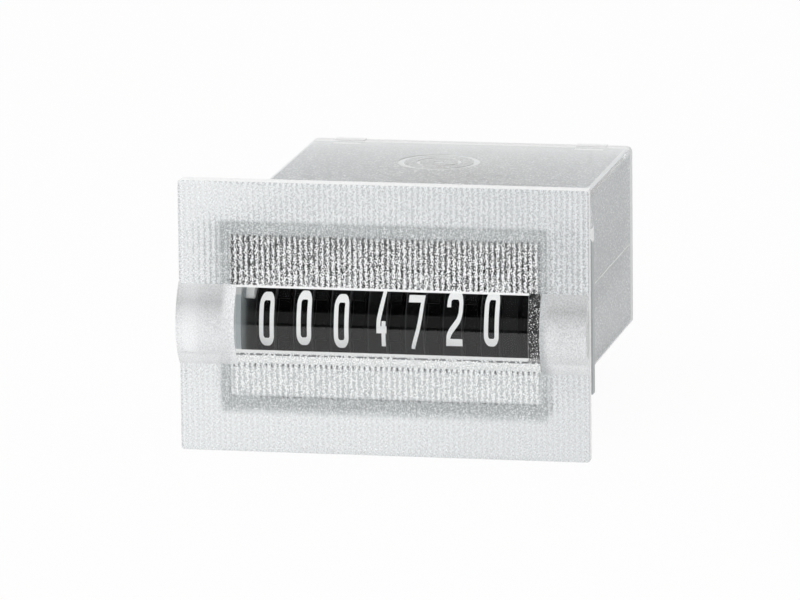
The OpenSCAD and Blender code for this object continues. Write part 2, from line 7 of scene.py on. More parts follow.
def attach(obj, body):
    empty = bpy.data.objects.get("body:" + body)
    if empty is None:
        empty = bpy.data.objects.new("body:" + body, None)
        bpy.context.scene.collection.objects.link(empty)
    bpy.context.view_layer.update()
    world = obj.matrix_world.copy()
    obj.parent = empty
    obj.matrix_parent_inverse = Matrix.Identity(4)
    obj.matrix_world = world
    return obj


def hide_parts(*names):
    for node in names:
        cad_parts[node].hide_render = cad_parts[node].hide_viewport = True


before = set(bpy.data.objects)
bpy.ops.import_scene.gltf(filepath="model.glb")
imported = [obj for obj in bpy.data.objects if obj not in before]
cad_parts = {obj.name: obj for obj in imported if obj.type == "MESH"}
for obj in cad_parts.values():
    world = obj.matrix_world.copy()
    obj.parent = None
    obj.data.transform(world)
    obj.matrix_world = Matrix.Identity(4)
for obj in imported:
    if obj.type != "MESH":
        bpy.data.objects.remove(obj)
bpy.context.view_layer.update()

# The case: one clear polycarbonate moulding with the bezel, the magnifying lens band, the hollow body and two
# snap arms. The tool was spark-eroded, so the plastic is frosted all over, apart from the lens and the window
# behind it, which are polished. Fine upright ribs cover the bezel above and below the lens.
MM = 0.001
bezel_w, bezel_h, bezel_t = 30.0, 19.8, 1.4
body_w, body_h, body_d = 24.5, 13.6, 31.8405
cavity_w, cavity_h, cavity_y = 22.7, 11.8, -0.2
body_edge_r, bezel_corner_r, bezel_bevel = 0.4, 0.22, 0.15
rib_pitch, rib_depth, rib_crest, rib_margin = 0.4, 0.09, 0.012, 0.07
side_step, side_step_y = 0.1, -0.7
lens_r, lens_bulge, lens_z, lens_sides = 4.13, 1.205, -0.53, 256
lens_y = -bezel_t - lens_bulge + lens_r
lens_half = math.sqrt(lens_r**2 - (lens_r - lens_bulge) ** 2)
lens_back = side_step_y - 0.05
foot_cut, foot_sink = 0.14, 2.5 * rib_depth
lens_foot = lens_z - lens_half + foot_cut
band_margin, polish_left, polish_right = 0.1, -10.7, 11.6
window_left, window_right, window_h, window_z = -10.9, 10.525, 3.8, -0.2
window_step, window_bevel = 0.1, 0.17
arm_tip_x, arm_gap_y, arm_t, arm_top, arm_foot = 14.5, 2.1, 0.8, 6.1, -5.8
arm_root_y, arm_ramp, arm_land, arm_nose, arm_corner = 14.1, 0.8, 0.85, 0.1, 0.8
arm_sink, arm_core_x = 0.45, 10
tip_cut_w, tip_cut_h = 0.28, 0.72
lug_x, lug_w, lug_y, lug_l = 9.25, 2.25, 30.8655, 0.65
gate_x, gate_y, gate_depth, gate_sides = -0.9, 24.5905, 0.06, 96
gate_rings = ((3.1, 2.6), (1.7, 1.45), (0.4, 0.0))
seam_z, seam_t, seam_y = -0.42, 0.03, 0.5
clear_ior = 1.585
hair, past = 0.01, 1  # a step too small to see, and how far a cutter reaches beyond what it cuts
bisect_limit, weld, smooth_angle = 1e-8, 0.0005, math.radians(28)


def only(piece):
    """Select one piece and make it the one that operators act on."""
    bpy.ops.object.select_all(action="DESELECT")
    piece.select_set(True)
    bpy.context.view_layer.objects.active = piece


def settle():
    """Bake the new primitive's place into its mesh, and hand it back."""
    bpy.ops.object.transform_apply(location=True, rotation=True, scale=True)
    return bpy.context.object


def add_block(low, high):
    bpy.ops.object.select_all(action="DESELECT")
    middle = [(a + b) / 2 * MM for a, b in zip(low, high)]
    bpy.ops.mesh.primitive_cube_add(size=1, location=middle, scale=[(b - a) * MM for a, b in zip(low, high)])
    return settle()


def add_bar(radius, length, middle, turn, sides):
    bpy.ops.object.select_all(action="DESELECT")
    bpy.ops.mesh.primitive_cylinder_add(
        vertices=sides, radius=radius * MM, depth=length * MM, location=[v * MM for v in middle], rotation=turn)
    return settle()


def add_prism(corners, way):
    """A flat outline, given by its corners, extruded along one way."""
    bpy.ops.object.select_all(action="DESELECT")
    bpy.ops.mesh.primitive_circle_add(vertices=len(corners), radius=1, fill_type="NGON")
    prism = bpy.context.object
    for v, corner in zip(prism.data.vertices, corners):
        v.co = [c * MM for c in corner]
    bpy.ops.object.mode_set(mode="EDIT")
    bpy.ops.mesh.select_all(action="SELECT")
    bpy.ops.mesh.extrude_region_move(TRANSFORM_OT_translate={"value": [w * MM for w in way]})
    bpy.ops.mesh.select_all(action="SELECT")
    bpy.ops.mesh.normals_make_consistent(inside=False)
    bpy.ops.object.mode_set(mode="OBJECT")
    return prism


def bevel_edges(piece, width, segments, wanted):
    """Bevel the edges whose two ends, in millimetres, both pass a test."""
    only(piece)
    bpy.ops.object.mode_set(mode="EDIT")
    bpy.ops.mesh.select_mode(type="EDGE")
    bpy.ops.mesh.select_all(action="DESELECT")
    bpy.ops.object.mode_set(mode="OBJECT")
    points = [v.co / MM for v in piece.data.vertices]
    for edge in piece.data.edges:
        edge.select = wanted(*[points[i] for i in edge.vertices])
    bpy.ops.object.mode_set(mode="EDIT")
    bpy.ops.mesh.bevel(
        offset=width * MM, offset_type="OFFSET", segments=segments, affect="EDGES", clamp_overlap=True)
    bpy.ops.object.mode_set(mode="OBJECT")


def combine(piece, other, how):
    """Join or cut a piece with another one, which is used up."""
    only(piece)
    step = piece.modifiers.new("combine", "BOOLEAN")
    step.operation, step.object, step.solver = how, other, "EXACT"
    bpy.ops.object.modifier_apply(modifier=step.name)
    bpy.data.objects.remove(other)


def slice_all(at, way, **how):
    """Cut the mesh that is being edited along a plane; its place is in millimetres."""
    bpy.ops.mesh.select_all(action="SELECT")
    bpy.ops.mesh.bisect(plane_co=[c * MM for c in at], plane_no=way, threshold=bisect_limit, **how)


half_w, half_h = bezel_w / 2, bezel_h / 2
case = add_block((-half_w, -bezel_t, -half_h), (half_w, 0, half_h))
case.name = case.data.name = "clear_case"
bevel_edges(case, bezel_corner_r, 3, lambda a, b: abs(a.y - b.y) > bezel_t / 2)
bevel_edges(case, bezel_bevel, 2, lambda a, b: max(a.y, b.y) < -bezel_t + hair)
for side in (-1, 1):
    inner, outer = sorted((side * (half_w - side_step), side * (half_w + past)))
    combine(case, add_block((inner, side_step_y, -half_h - past), (outer, past, half_h + past)), "DIFFERENCE")
rib_count = int(bezel_w / rib_pitch)
first_rib = -(rib_count - 1) / 2 * rib_pitch
half_rib = rib_pitch / 2 - rib_crest
rib_end = half_h - bezel_bevel - rib_margin
for low, high in ((lens_z + lens_half + band_margin, rib_end), (-rib_end, lens_foot)):
    groove = add_prism(
        [(first_rib - half_rib, -bezel_t, low), (first_rib, -bezel_t + rib_depth, low),
         (first_rib + half_rib, -bezel_t, low), (first_rib, -bezel_t - rib_depth, low)], (0, 0, high - low))
    row = groove.modifiers.new("row", "ARRAY")
    row.use_relative_offset, row.use_constant_offset = False, True
    row.constant_offset_displace, row.count = (rib_pitch * MM, 0, 0), rib_count
    bpy.ops.object.modifier_apply(modifier=row.name)
    combine(case, groove, "DIFFERENCE")

lens = add_bar(lens_r, bezel_w - hair, (0, lens_y, lens_z), (0, math.pi / 2, 0), lens_sides)
bpy.ops.object.mode_set(mode="EDIT")
slice_all((0, lens_back, 0), (0, 1, 0), use_fill=True, clear_outer=True)
for x in (polish_left, polish_left + 2 * hair, polish_right - 2 * hair, polish_right):
    slice_all((x, 0, 0), (1, 0, 0))
for z in (lens_foot, lens_foot - 2 * hair):
    slice_all((0, 0, z), (0, 0, 1))
bpy.ops.object.mode_set(mode="OBJECT")
for v in lens.data.vertices:
    if polish_left + hair < v.co.x / MM < polish_right - hair and v.co.z / MM < lens_foot - hair:
        v.co.y = max(v.co.y, (-bezel_t + foot_sink) * MM)
combine(case, lens, "UNION")

body = add_block((-body_w / 2, -bezel_t / 2, -body_h / 2), (body_w / 2, body_d, body_h / 2))
bevel_edges(body, body_edge_r, 4, lambda a, b: abs(a.y - b.y) > 1)
root_x, corner_y = body_w / 2 - arm_sink, arm_gap_y + arm_corner
for side in (-1, 1):
    outline = [
        (root_x, arm_root_y + past), (body_w / 2 + hair, arm_root_y + past),
        (arm_tip_x, arm_gap_y + arm_ramp + arm_land), (arm_tip_x, arm_gap_y + arm_ramp),
        (arm_tip_x - arm_t, arm_gap_y), (arm_tip_x - arm_t - arm_nose, arm_gap_y), (root_x, arm_root_y - arm_t)]
    arm = add_prism([(side * x, y, arm_foot) for x, y in outline], (0, 0, arm_top - arm_foot))
    profile = [
        (arm_root_y + 2 * past, arm_foot - past), (arm_root_y + 2 * past, arm_top + past),
        (corner_y + past, arm_top + past), (arm_gap_y - past, arm_top - arm_corner - past),
        (arm_gap_y - past, arm_foot + arm_corner + past), (corner_y + past, arm_foot - past)]
    core = add_prism([(side * arm_core_x, y, z) for y, z in profile], (side * arm_core_x, 0, 0))
    combine(arm, core, "INTERSECT")
    cut_x, cut_fall = arm_tip_x - tip_cut_w, tip_cut_h / tip_cut_w * (tip_cut_w + past)
    wedge = [(cut_x, arm_top), (cut_x, arm_top + past), (arm_tip_x + past, arm_top + past),
             (arm_tip_x + past, arm_top - cut_fall)]
    tip_cut = add_prism([(side * x, arm_gap_y - past, z) for x, z in wedge], (0, 4 * past, 0))
    combine(arm, tip_cut, "DIFFERENCE")
    combine(body, arm, "UNION")
    seam_x = side * body_w / 2
    combine(body, add_block((seam_x - seam_t, seam_y, seam_z - seam_t),
                            (seam_x + seam_t, body_d, seam_z + seam_t)), "UNION")
combine(case, body, "UNION")

cavity = add_block((-cavity_w / 2, cavity_y, -cavity_h / 2), (cavity_w / 2, body_d + past, cavity_h / 2))
combine(case, cavity, "DIFFERENCE")
window = add_block((window_left, cavity_y - window_step, window_z - window_h / 2),
                   (window_right, cavity_y, window_z + window_h / 2))
for v in window.data.vertices:
    if v.co.y > (cavity_y - window_step / 2) * MM:
        v.co.y += 2 * hair * MM
        v.co.z += math.copysign(window_bevel * MM, v.co.z - window_z * MM)
combine(case, window, "DIFFERENCE")
for x in (-lug_x, lug_x):
    lug_slot = add_block((x - lug_w / 2, lug_y, -body_h), (x + lug_w / 2, lug_y + lug_l, body_h))
    combine(case, lug_slot, "DIFFERENCE")
for outer, inner in gate_rings:
    middle_z = body_h / 2 - gate_depth + past / 2
    ring = add_bar(outer, past, (gate_x, gate_y, middle_z), (0, 0, 0), gate_sides)
    if inner > 0:
        plug = add_bar(inner, 3 * past, (gate_x, gate_y, body_h / 2), (0, 0, 0), gate_sides)
        combine(ring, plug, "DIFFERENCE")
    combine(case, ring, "DIFFERENCE")
only(case)
bpy.ops.object.mode_set(mode="EDIT")
bpy.ops.mesh.select_all(action="SELECT")
bpy.ops.mesh.remove_doubles(threshold=weld * MM)
bpy.ops.object.mode_set(mode="OBJECT")
bpy.ops.object.shade_smooth_by_angle(angle=smooth_angle)


def feed(socket, value):
    """Give a socket a constant, or link another node's output to it."""
    if isinstance(value, bpy.types.NodeSocket):
        socket.id_data.links.new(value, socket)
    else:
        socket.default_value = value


def add_node(tree, kind, **values):
    """One shader node; a value given by name goes to the socket of that name, or to the node's own setting."""
    node = tree.nodes.new("ShaderNode" + kind)
    for name, value in values.items():
        socket = node.inputs.get(name.replace("_", " "))
        if socket is None:
            setattr(node, name, value)
        else:
            feed(socket, value)
    return node


def new_material(name):
    material = bpy.data.materials.new(name)
    material.use_nodes = True
    material.node_tree.nodes.clear()
    return material, material.node_tree


def noise(tree, where, grain_size, detail, rough=0.5):
    """A noise whose grains are about so many millimetres wide."""
    node = add_node(tree, "TexNoise", Vector=where, Scale=1 / (grain_size * MM), Detail=detail, Roughness=rough)
    return node.outputs["Fac"]


def reckon(tree, operation, *values):
    """One sum in a material; each value is a number or another node's output."""
    node = add_node(tree, "Math", operation=operation)
    for socket, value in zip(node.inputs, values):
        feed(socket, value)
    return node.outputs[0]


def mix_shaders(tree, share, first, second):
    node = add_node(tree, "MixShader")
    for socket, value in zip(node.inputs, (share, first, second)):
        feed(socket, value)
    return node.outputs[0]


pit_draw, pit_rough, rib_wander, rib_sway = (1, 1, 0.7), 0.6, 0.3, 3.2
light_tint = (0.98, 0.985, 0.985, 1)


def clear_plastic(name, colour, rough, haze, grain_size, relief, ribbed=0.0, mirror=1.0, blur=0.12):
    """Clear plastic with a spark-eroded grain: clear pits that refract and milky crests that catch the light.
    The lamps' light passes through it, so that what lies behind it is lit."""
    material, tree = new_material(name)
    glass = add_node(tree, "BsdfPrincipled", name="plastic", Base_Color=(*colour, 1), Roughness=rough,
                     IOR=clear_ior, Transmission_Weight=1.0, Specular_Tint=(mirror, mirror, mirror, 1))
    if haze:
        place = add_node(tree, "TexCoord", name="place").outputs["Object"]
        drawn = add_node(tree, "Mapping", Vector=place, Scale=pit_draw).outputs["Vector"]
        pits = noise(tree, drawn, grain_size, 2.0, pit_rough)
        pits.node.name = "pits"
        bumps = add_node(tree, "Bump", Height=pits, Strength=relief, Distance=grain_size * 0.4 * MM)
        feed(glass.inputs["Normal"], bumps.outputs["Normal"])
        crests = pits
        if ribbed:
            along = add_node(tree, "SeparateXYZ", Vector=place).outputs["X"]
            sway = reckon(tree, "MULTIPLY", noise(tree, place, rib_wander, 1.0), rib_sway)
            phase = reckon(tree, "MULTIPLY_ADD", along, 2 * math.pi / (rib_pitch * MM), sway)
            wave = reckon(tree, "SINE", phase)
            wave.node.name = "rib_wave"
            crests = reckon(tree, "MULTIPLY_ADD", wave, ribbed, pits)
        share = add_node(tree, "MapRange", name="clear_share", Value=crests, From_Min=0.5 - blur,
                         From_Max=0.5 + blur, To_Min=1 - haze[0], To_Max=1 - haze[1])
        feed(glass.inputs["Transmission Weight"], share.outputs["Result"])
    path = add_node(tree, "LightPath").outputs
    lighting = reckon(tree, "MAXIMUM", path["Is Shadow Ray"], path["Is Diffuse Ray"])
    passing = add_node(tree, "BsdfTransparent", Color=light_tint)
    add_node(tree, "OutputMaterial", Surface=mix_shaders(tree, lighting, glass.outputs[0], passing.outputs[0]))
    return material


finishes = {finish.name: finish for finish in (
    clear_plastic("lens_polish", (0.99, 0.995, 0.995), 0.005, None, 0, 0),
    clear_plastic("lens_end_frost", (0.90, 0.915, 0.925), 0.20, (0.6, 0.9), 0.08, 0.2),
    # The window's bevels are milky white, as a painted highlight along the window's edges.
    clear_plastic("window_edge_highlight", (0.99, 0.99, 0.99), 0.30, (0.9, 1.0), 0.10, 0.1),
    clear_plastic("bezel_frost", (0.84, 0.86, 0.87), 0.05, (0.0, 0.97), 0.085, 0.5, ribbed=0.085, blur=0.05),
    # A whiter copy for the bezel's edges, the parting line and the bevels beside the body: milky frost with a
    # painted highlight.
    clear_plastic("bezel_edge_highlight", (0.98, 0.985, 0.985), 0.25, (0.85, 1.0), 0.12, 0.1),
    clear_plastic("flange_back", (0.90, 0.915, 0.925), 0.15, (0.35, 0.55), 0.15, 0.2),
    clear_plastic("body_frost", (0.58, 0.60, 0.61), 0.35, (0.35, 0.95), 0.22, 0.4),
    # The body's rounded edges and the gate rings' faces take a paler copy of the body's finish, as painted
    # highlight.
    clear_plastic("body_edge_highlight", (0.90, 0.92, 0.93), 0.35, (0.7, 0.95), 0.22, 0.4),
    clear_plastic("inside_frost", (0.85, 0.865, 0.875), 0.10, (-0.7, 0.6), 0.07, 0.3, blur=0.1),
    clear_plastic("window_polish", (0.96, 0.97, 0.97), 0.01, None, 0, 0, mirror=0.0),
    # A darker copy of the body's finish for the snap arms' fronts, as painted shade.
    clear_plastic("arm_shade_frost", (0.40, 0.425, 0.43), 0.35, (0.7, 0.95), 0.22, 0.4),
)}

# Seen end on through the bezel, the body's walls are painted as a grey ring with pale specks, standing in for
# their light and shade, and the rim around it is more even than the part over the mechanism. Where the lower ribs
# start, each groove ends in a small dark step of painted shadow.
ring_out, ring_in, hole_at = (11.90, 6.93), (11.36, 5.94), (0.09, 0.14)
ring_ragged, ring_fade, rim_fade, rim_milk = 1.2, (-0.16, 0.06), (0.0, -0.2), 0.40
wall_light_grey, wall_light_speck, ring_clear = (0.42, 0.45, 0.455), (0.92, 0.94, 0.95), 0.2
speck_size, speck_levels = 0.09, (0.46, 0.64)
left_lit_tone, right_shade_tone = (0.86, 0.88, 0.89), (0.77, 0.79, 0.805)
lower_pit_shade, lower_crests = (0.49, 0.51, 0.52), (0.93, 0.945, 0.95)
upper_pit_shade, upper_crests, crest_levels = (0.37, 0.38, 0.39), (0.97, 0.98, 0.985), (0.9, 0.4)
step_l, step_shadow_dark, step_clear, soft_edge = 0.36, (0.05, 0.05, 0.055), 0.1, 0.1
groove_wave, groove_pits, apron_fade = (-0.3, -0.8), (0.40, 0.52), 0.3


def open_finish(material):
    """What an addition to a finish needs: its tree, the place on the piece, its shader's inputs, X, Y and Z."""
    tree = material.node_tree
    place = tree.nodes["place"].outputs["Object"]
    return tree, place, tree.nodes["plastic"].inputs, add_node(tree, "SeparateXYZ", Vector=place).outputs


def ramp(tree, value, low, high):
    """0 below one level, 1 above another, and a slope between."""
    return add_node(tree, "MapRange", Value=value, From_Min=low, From_Max=high).outputs["Result"]


def ramp_mm(tree, value, low, high):
    """The same, between two lengths in millimetres."""
    return ramp(tree, value, low * MM, high * MM)


def between(tree, share, start, end):
    """A number that goes from one value to another as a share rises from 0 to 1."""
    return add_node(tree, "MapRange", Value=share, To_Min=start, To_Max=end).outputs["Result"]


def overlap(tree, *shares):
    """Where all of several shares hold: their product."""
    product = shares[0]
    for share in shares[1:]:
        product = reckon(tree, "MULTIPLY", product, share)
    return product


def tones(tree, value, *stops):
    """A colour that runs through stops, each a level and its colour, as a value rises."""
    node = add_node(tree, "ValToRGB", Fac=value)
    elements = node.color_ramp.elements
    while len(elements) < len(stops):
        elements.new(1)
    for element, (level, colour) in zip(elements, stops):
        element.position, element.color = level, (*colour, 1)
    return node.outputs["Color"]


def blend(tree, share, under, over):
    """One colour laid over another by a share; either is a constant or another node's output."""
    node = add_node(tree, "Mix", data_type="RGBA")
    feed(node.inputs[0], share)
    for socket, colour in ((node.inputs[6], under), (node.inputs[7], over)):
        feed(socket, (*colour, 1) if isinstance(colour, tuple) else colour)
    return node.outputs[2]


tree, place, plastic, (at_x, _, at_z) = open_finish(finishes["bezel_frost"])
pits, clear_share = tree.nodes["pits"].outputs["Fac"], tree.nodes["clear_share"].outputs["Result"]
wide, tall = reckon(tree, "ABSOLUTE", at_x), reckon(tree, "ABSOLUTE", at_z)
inside_ring = reckon(tree, "MINIMUM", reckon(tree, "SUBTRACT", ring_out[0] * MM, wide),
                     reckon(tree, "SUBTRACT", ring_out[1] * MM, tall))
off_hole = []
for along, middle, half in zip((at_x, at_z), hole_at, ring_in):
    off_middle = reckon(tree, "ABSOLUTE", reckon(tree, "SUBTRACT", along, middle * MM))
    off_hole.append(reckon(tree, "SUBTRACT", off_middle, half * MM))
outside_hole = reckon(tree, "MAXIMUM", *off_hole)
ragged = reckon(tree, "MULTIPLY_ADD", pits, ring_ragged * MM, -ring_ragged / 2 * MM)
depth = reckon(tree, "ADD", reckon(tree, "MINIMUM", inside_ring, outside_hole), ragged)
on_ring, on_rim = ramp_mm(tree, depth, *ring_fade), ramp_mm(tree, inside_ring, *rim_fade)
painted_wall_light = tones(tree, noise(tree, place, speck_size, 1.0), *zip(speck_levels, (wall_light_grey, wall_light_speck)))
at_step = overlap(tree, ramp_mm(tree, at_z, lens_foot - step_l, lens_foot - step_l + soft_edge),
                  ramp_mm(tree, at_z, lens_foot + soft_edge / 2, lens_foot))
rib_wave = tree.nodes["rib_wave"].outputs[0]
in_groove = overlap(tree, ramp(tree, rib_wave, *groove_wave), ramp(tree, pits, *groove_pits))
over_apron = overlap(tree, ramp_mm(tree, wide, ring_in[0], ring_in[0] - apron_fade), at_step, in_groove)
# The bezel is painted darker towards its right, as shade from light that comes from the left.
toned = blend(tree, ramp_mm(tree, at_x, 0.0, half_w), left_lit_tone, right_shade_tone)
crests = ramp(tree, clear_share, *crest_levels)
# Over the mechanism the pits are painted darker, as the shade seen through them, and the crests pale.
for fade_z, from_z, pit_shade_tone, crest_tone in ((lens_foot + soft_edge, lens_foot, lower_pit_shade, lower_crests),
                                             (-soft_edge, 0.0, upper_pit_shade, upper_crests)):
    over_hole = overlap(tree, ramp_mm(tree, outside_hole, soft_edge, -soft_edge),
                        ramp_mm(tree, at_z, fade_z, from_z))
    toned = blend(tree, over_hole, toned, blend(tree, crests, pit_shade_tone, crest_tone))
# The grey ring of painted light and shade, with its specks, goes over the walls' section.
toned = blend(tree, on_ring, toned, painted_wall_light)
# Painted shadow: a dark step where each lower groove starts.
feed(plastic["Base Color"], blend(tree, over_apron, toned, step_shadow_dark))
rim_share = overlap(tree, clear_share, between(tree, on_rim, 1.0, 1 - rim_milk))
ring_share = between(tree, on_ring, rim_share, ring_clear)
feed(plastic["Transmission Weight"], between(tree, over_apron, ring_share, step_clear))

# The lens's frosted ends are painted lighter towards their lower side, as the light and reflection on the round
# lens. Beside the window the left one is painted light too, and the right one is painted darker, as shade.
lens_light_levels = ((0.0, 0.95), (0.30, 1.0), (0.60, 0.88), (0.80, 0.60), (1.0, 0.76))
lens_light_tint, lit_side, shaded_side = (0.98, 0.99, 1.0), (0.96, 0.97, 0.98), (0.66, 0.68, 0.69)
lit_fade, shaded_fade = (-11.75, -11.3), (12.3, 11.8)
tree, _, plastic, (at_x, _, at_z) = open_finish(finishes["lens_end_frost"])
up_lens = ramp_mm(tree, at_z, lens_z - lens_half, lens_z + lens_half)
# Painted light and shade: lighter towards the lens's lower side.
toned = tones(tree, up_lens, *((at, [level * tint for tint in lens_light_tint]) for at, level in lens_light_levels))
for fade, half, tone in ((lit_fade, (1, -1), lit_side), (shaded_fade, (-1, 1), shaded_side)):
    beside = overlap(tree, ramp_mm(tree, at_x, *fade), ramp_mm(tree, at_x, *half))
    toned = blend(tree, beside, toned, tone)
feed(plastic["Base Color"], toned)

# The body's grain shows as pale flecks, drawn out along its depth. Its top is painted paler towards the rear, as
# painted light.
fleck_size, fleck_draw, fleck_levels = 0.13, (1, 0.45, 1), (0.50, 0.72)
fleck_tones, rear_light_tone = ((0.50, 0.525, 0.54), (0.95, 0.965, 0.97)), (0.86, 0.875, 0.88)
pale_from_y, pale_curve, top_fade = 6, 3.0, (6.3, 6.7)
tree, place, plastic, (_, at_y, at_z) = open_finish(finishes["body_frost"])
drawn = add_node(tree, "Mapping", Vector=place, Scale=fleck_draw).outputs["Vector"]
toned = tones(tree, noise(tree, drawn, fleck_size, 1.0), *zip(fleck_levels, fleck_tones))
# Painted light: the top grows paler towards the rear.
rear_light_share = reckon(tree, "POWER", ramp_mm(tree, at_y, pale_from_y, body_d), pale_curve)
on_top = ramp_mm(tree, at_z, *top_fade)
feed(plastic["Base Color"], blend(tree, overlap(tree, rear_light_share, on_top), toned, rear_light_tone))

# Under the window's lower edge the plastic bridges a thin gap above the apron, whose shade is painted as a broken
# dark line.
# To the window's right the grain is coarse, and shows as pale specks over the black cheek. Above the window the
# wall is clearer, so the dark room behind it shows between the ribs.
gap_z, gap_h, gap_edge = window_z - window_h / 2 - window_bevel - 0.11, 0.055, 0.03
gap_shade_dark, gap_clear, dash_size, dash_levels = (0.06, 0.065, 0.07), 0.1, 0.16, (0.44, 0.49)
salt_size, salt_rough, salt_white = 0.09, 0.7, (1, 1, 1)
apron_grit, apron_levels, apron_milk = (0.62, 0.64, 0.65), (0.42, 0.56), 0.7
strip_grit, strip_levels, above_clear = (0.10, 0.10, 0.105), (0.60, 0.64), 0.97
window_top = window_z + window_h / 2
tree, place, plastic, (at_x, _, at_z) = open_finish(finishes["inside_frost"])
off_gap = reckon(tree, "ABSOLUTE", reckon(tree, "SUBTRACT", at_z, gap_z * MM))
in_gap = overlap(tree, ramp_mm(tree, off_gap, gap_h + 2 * hair, gap_h),
                 ramp(tree, noise(tree, place, dash_size, 1.0), *dash_levels))
salt = noise(tree, place, salt_size, 1.0, salt_rough)
above = overlap(tree, ramp_mm(tree, at_z, window_top + 0.25, window_top + 0.35),
                ramp_mm(tree, at_x, window_right + 0.2, window_right), above_clear)
at_strip = overlap(tree, ramp_mm(tree, at_x, window_right - 0.1, window_right - 0.05),
                   ramp_mm(tree, at_z, gap_z - gap_edge, gap_z),
                   ramp_mm(tree, at_z, window_top + 0.2, window_top + 0.1))
under = ramp_mm(tree, at_z, gap_z, gap_z - gap_edge)
clear_share = tree.nodes["clear_share"].outputs["Result"]
plain_share = overlap(tree, clear_share, between(tree, under, 1.0, 1 - apron_milk))
strip_share = between(tree, ramp(tree, salt, *strip_levels), 1.0, gap_clear)
share = between(tree, at_strip, reckon(tree, "MAXIMUM", plain_share, above), strip_share)
feed(plastic["Transmission Weight"], between(tree, in_gap, share, gap_clear))
toned = tuple(plastic["Base Color"].default_value)[:3]
for where, levels, grit in ((under, apron_levels, apron_grit), (at_strip, strip_levels, strip_grit)):
    toned = blend(tree, where, toned, tones(tree, salt, (levels[0], grit), (levels[1], salt_white)))
# Painted shade: the gap's broken dark line.
feed(plastic["Base Color"], blend(tree, in_gap, toned, gap_shade_dark))


def finish_of(face):
    """The name of a face's finish, by where the face lies on the case and which way it looks."""
    x, y, z = face.center / MM
    slant = min(abs(face.normal.x), abs(face.normal.z))
    off_side, over_top = abs(x) - body_w / 2, abs(z) > body_h / 2 - 0.1
    if abs(math.hypot(y - lens_y, z - lens_z) - lens_r) < 2 * hair and face.normal.y < -0.1:
        return "lens_polish" if polish_left < x < polish_right else "lens_end_frost"
    if abs(y - (cavity_y - window_step)) < 2 * hair and abs(face.normal.y) > 0.95:
        return "window_polish"
    if cavity_y - window_step < y < cavity_y and abs(z - window_z) < window_h and abs(x) < cavity_w / 2:
        return "window_edge_highlight"
    if y < -bezel_t + 0.2 and (face.normal.y < -0.3 or abs(z) < half_h - 0.2):
        return "bezel_frost"
    if y < hair and (abs(x) > half_w - 2 * hair or abs(z) > half_h - 0.1):
        return "bezel_edge_highlight"
    if y < hair and (off_side > -hair or over_top):
        return "flange_back"
    if off_side > hair / 2 and abs(z - seam_z) < 2 * seam_t or off_side > 5 * hair and slant > 0.2:
        return "bezel_edge_highlight"
    if off_side > 5 * hair:
        return "arm_shade_frost" if y < arm_gap_y + arm_ramp + arm_land else "body_frost"
    if math.hypot(x - gate_x, y - gate_y) < gate_rings[0][0] + hair and -0.1 < z - body_h / 2 < -hair:
        return "body_edge_highlight"
    if off_side > -hair or over_top or y > body_d - hair:
        return "body_edge_highlight" if slant > 0.15 and y > 1 else "body_frost"
    return "inside_frost"


case.data.materials.clear()
for finish in finishes.values():
    case.data.materials.append(finish)
finish_order = list(finishes)
for face in case.data.polygons:
    face.material_index = finish_order.index(finish_of(face))
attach(case, "housing")
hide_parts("case")


# The rear cover: a plate of the same frosted plastic, whose skirt snaps into the body's rear by four lugs. A low
# pad marks each lug on the plate's edge, and two slots let the terminal tabs through.
cover_y, rear_y, skirt_l, skirt_t, skirt_gap = body_d, body_d + 1.25, 1.25, 0.8, 0.025
cover_round, cover_groove, sink = 0.12, 0.08, 0.2
pad_w, pad_l, pad_h = 2.3, 0.85, 0.08
slot_x, slot_t, slot_h, slot_z = 4.0, 0.7, 3.0, 0.375
cover = add_block((-body_w / 2, cover_y, -body_h / 2), (body_w / 2, rear_y, body_h / 2))
cover.name = cover.data.name = "frosted_cover"
bevel_edges(cover, body_edge_r, 4, lambda a, b: abs(a.y - b.y) > 1)
bevel_edges(cover, cover_round, 2, lambda a, b: min(a.y, b.y) > rear_y - hair)
bevel_edges(cover, cover_groove, 1, lambda a, b: max(a.y, b.y) < cover_y + hair)
skirt_x, skirt_z = cavity_w / 2 - skirt_gap, cavity_h / 2 - skirt_gap
skirt = add_block((-skirt_x, cover_y - skirt_l, -skirt_z), (skirt_x, cover_y + 2 * sink, skirt_z))
room_x, room_z = skirt_x - skirt_t, skirt_z - skirt_t
room = add_block((-room_x, cover_y - 2 * skirt_l, -room_z), (room_x, cover_y + sink, room_z))
combine(skirt, room, "DIFFERENCE")
combine(cover, skirt, "UNION")
pad_y = rear_y - cover_round - pad_l
for x in (-lug_x, lug_x):
    for low, high in ((room_z + sink, body_h / 2 - hair), (hair - body_h / 2, -room_z - sink)):
        combine(cover, add_block((x - lug_w / 2 + skirt_gap, lug_y + skirt_gap, low),
                                 (x + lug_w / 2 - skirt_gap, lug_y + lug_l - skirt_gap, high)), "UNION")
    for low, high in ((body_h / 2 - sink, body_h / 2 + pad_h), (-body_h / 2 - pad_h, sink - body_h / 2)):
        combine(cover, add_block((x - pad_w / 2, pad_y, low), (x + pad_w / 2, pad_y + pad_l, high)), "UNION")
for x in (-slot_x, slot_x):
    combine(cover, add_block((x - slot_t / 2, cover_y - past, slot_z - slot_h / 2),
                             (x + slot_t / 2, rear_y + past, slot_z + slot_h / 2)), "DIFFERENCE")
only(cover)
bpy.ops.object.shade_smooth_by_angle(angle=smooth_angle)
cover_tone, cover_edge_highlight, edge_fade = (0.80, 0.82, 0.825), (1, 1, 1), (6.5, 6.75)
cover_frost = clear_plastic("cover_frost", cover_tone, 0.35, (0.6, 0.95), 0.10, 0.4)
tree, _, plastic, (_, _, at_z) = open_finish(cover_frost)
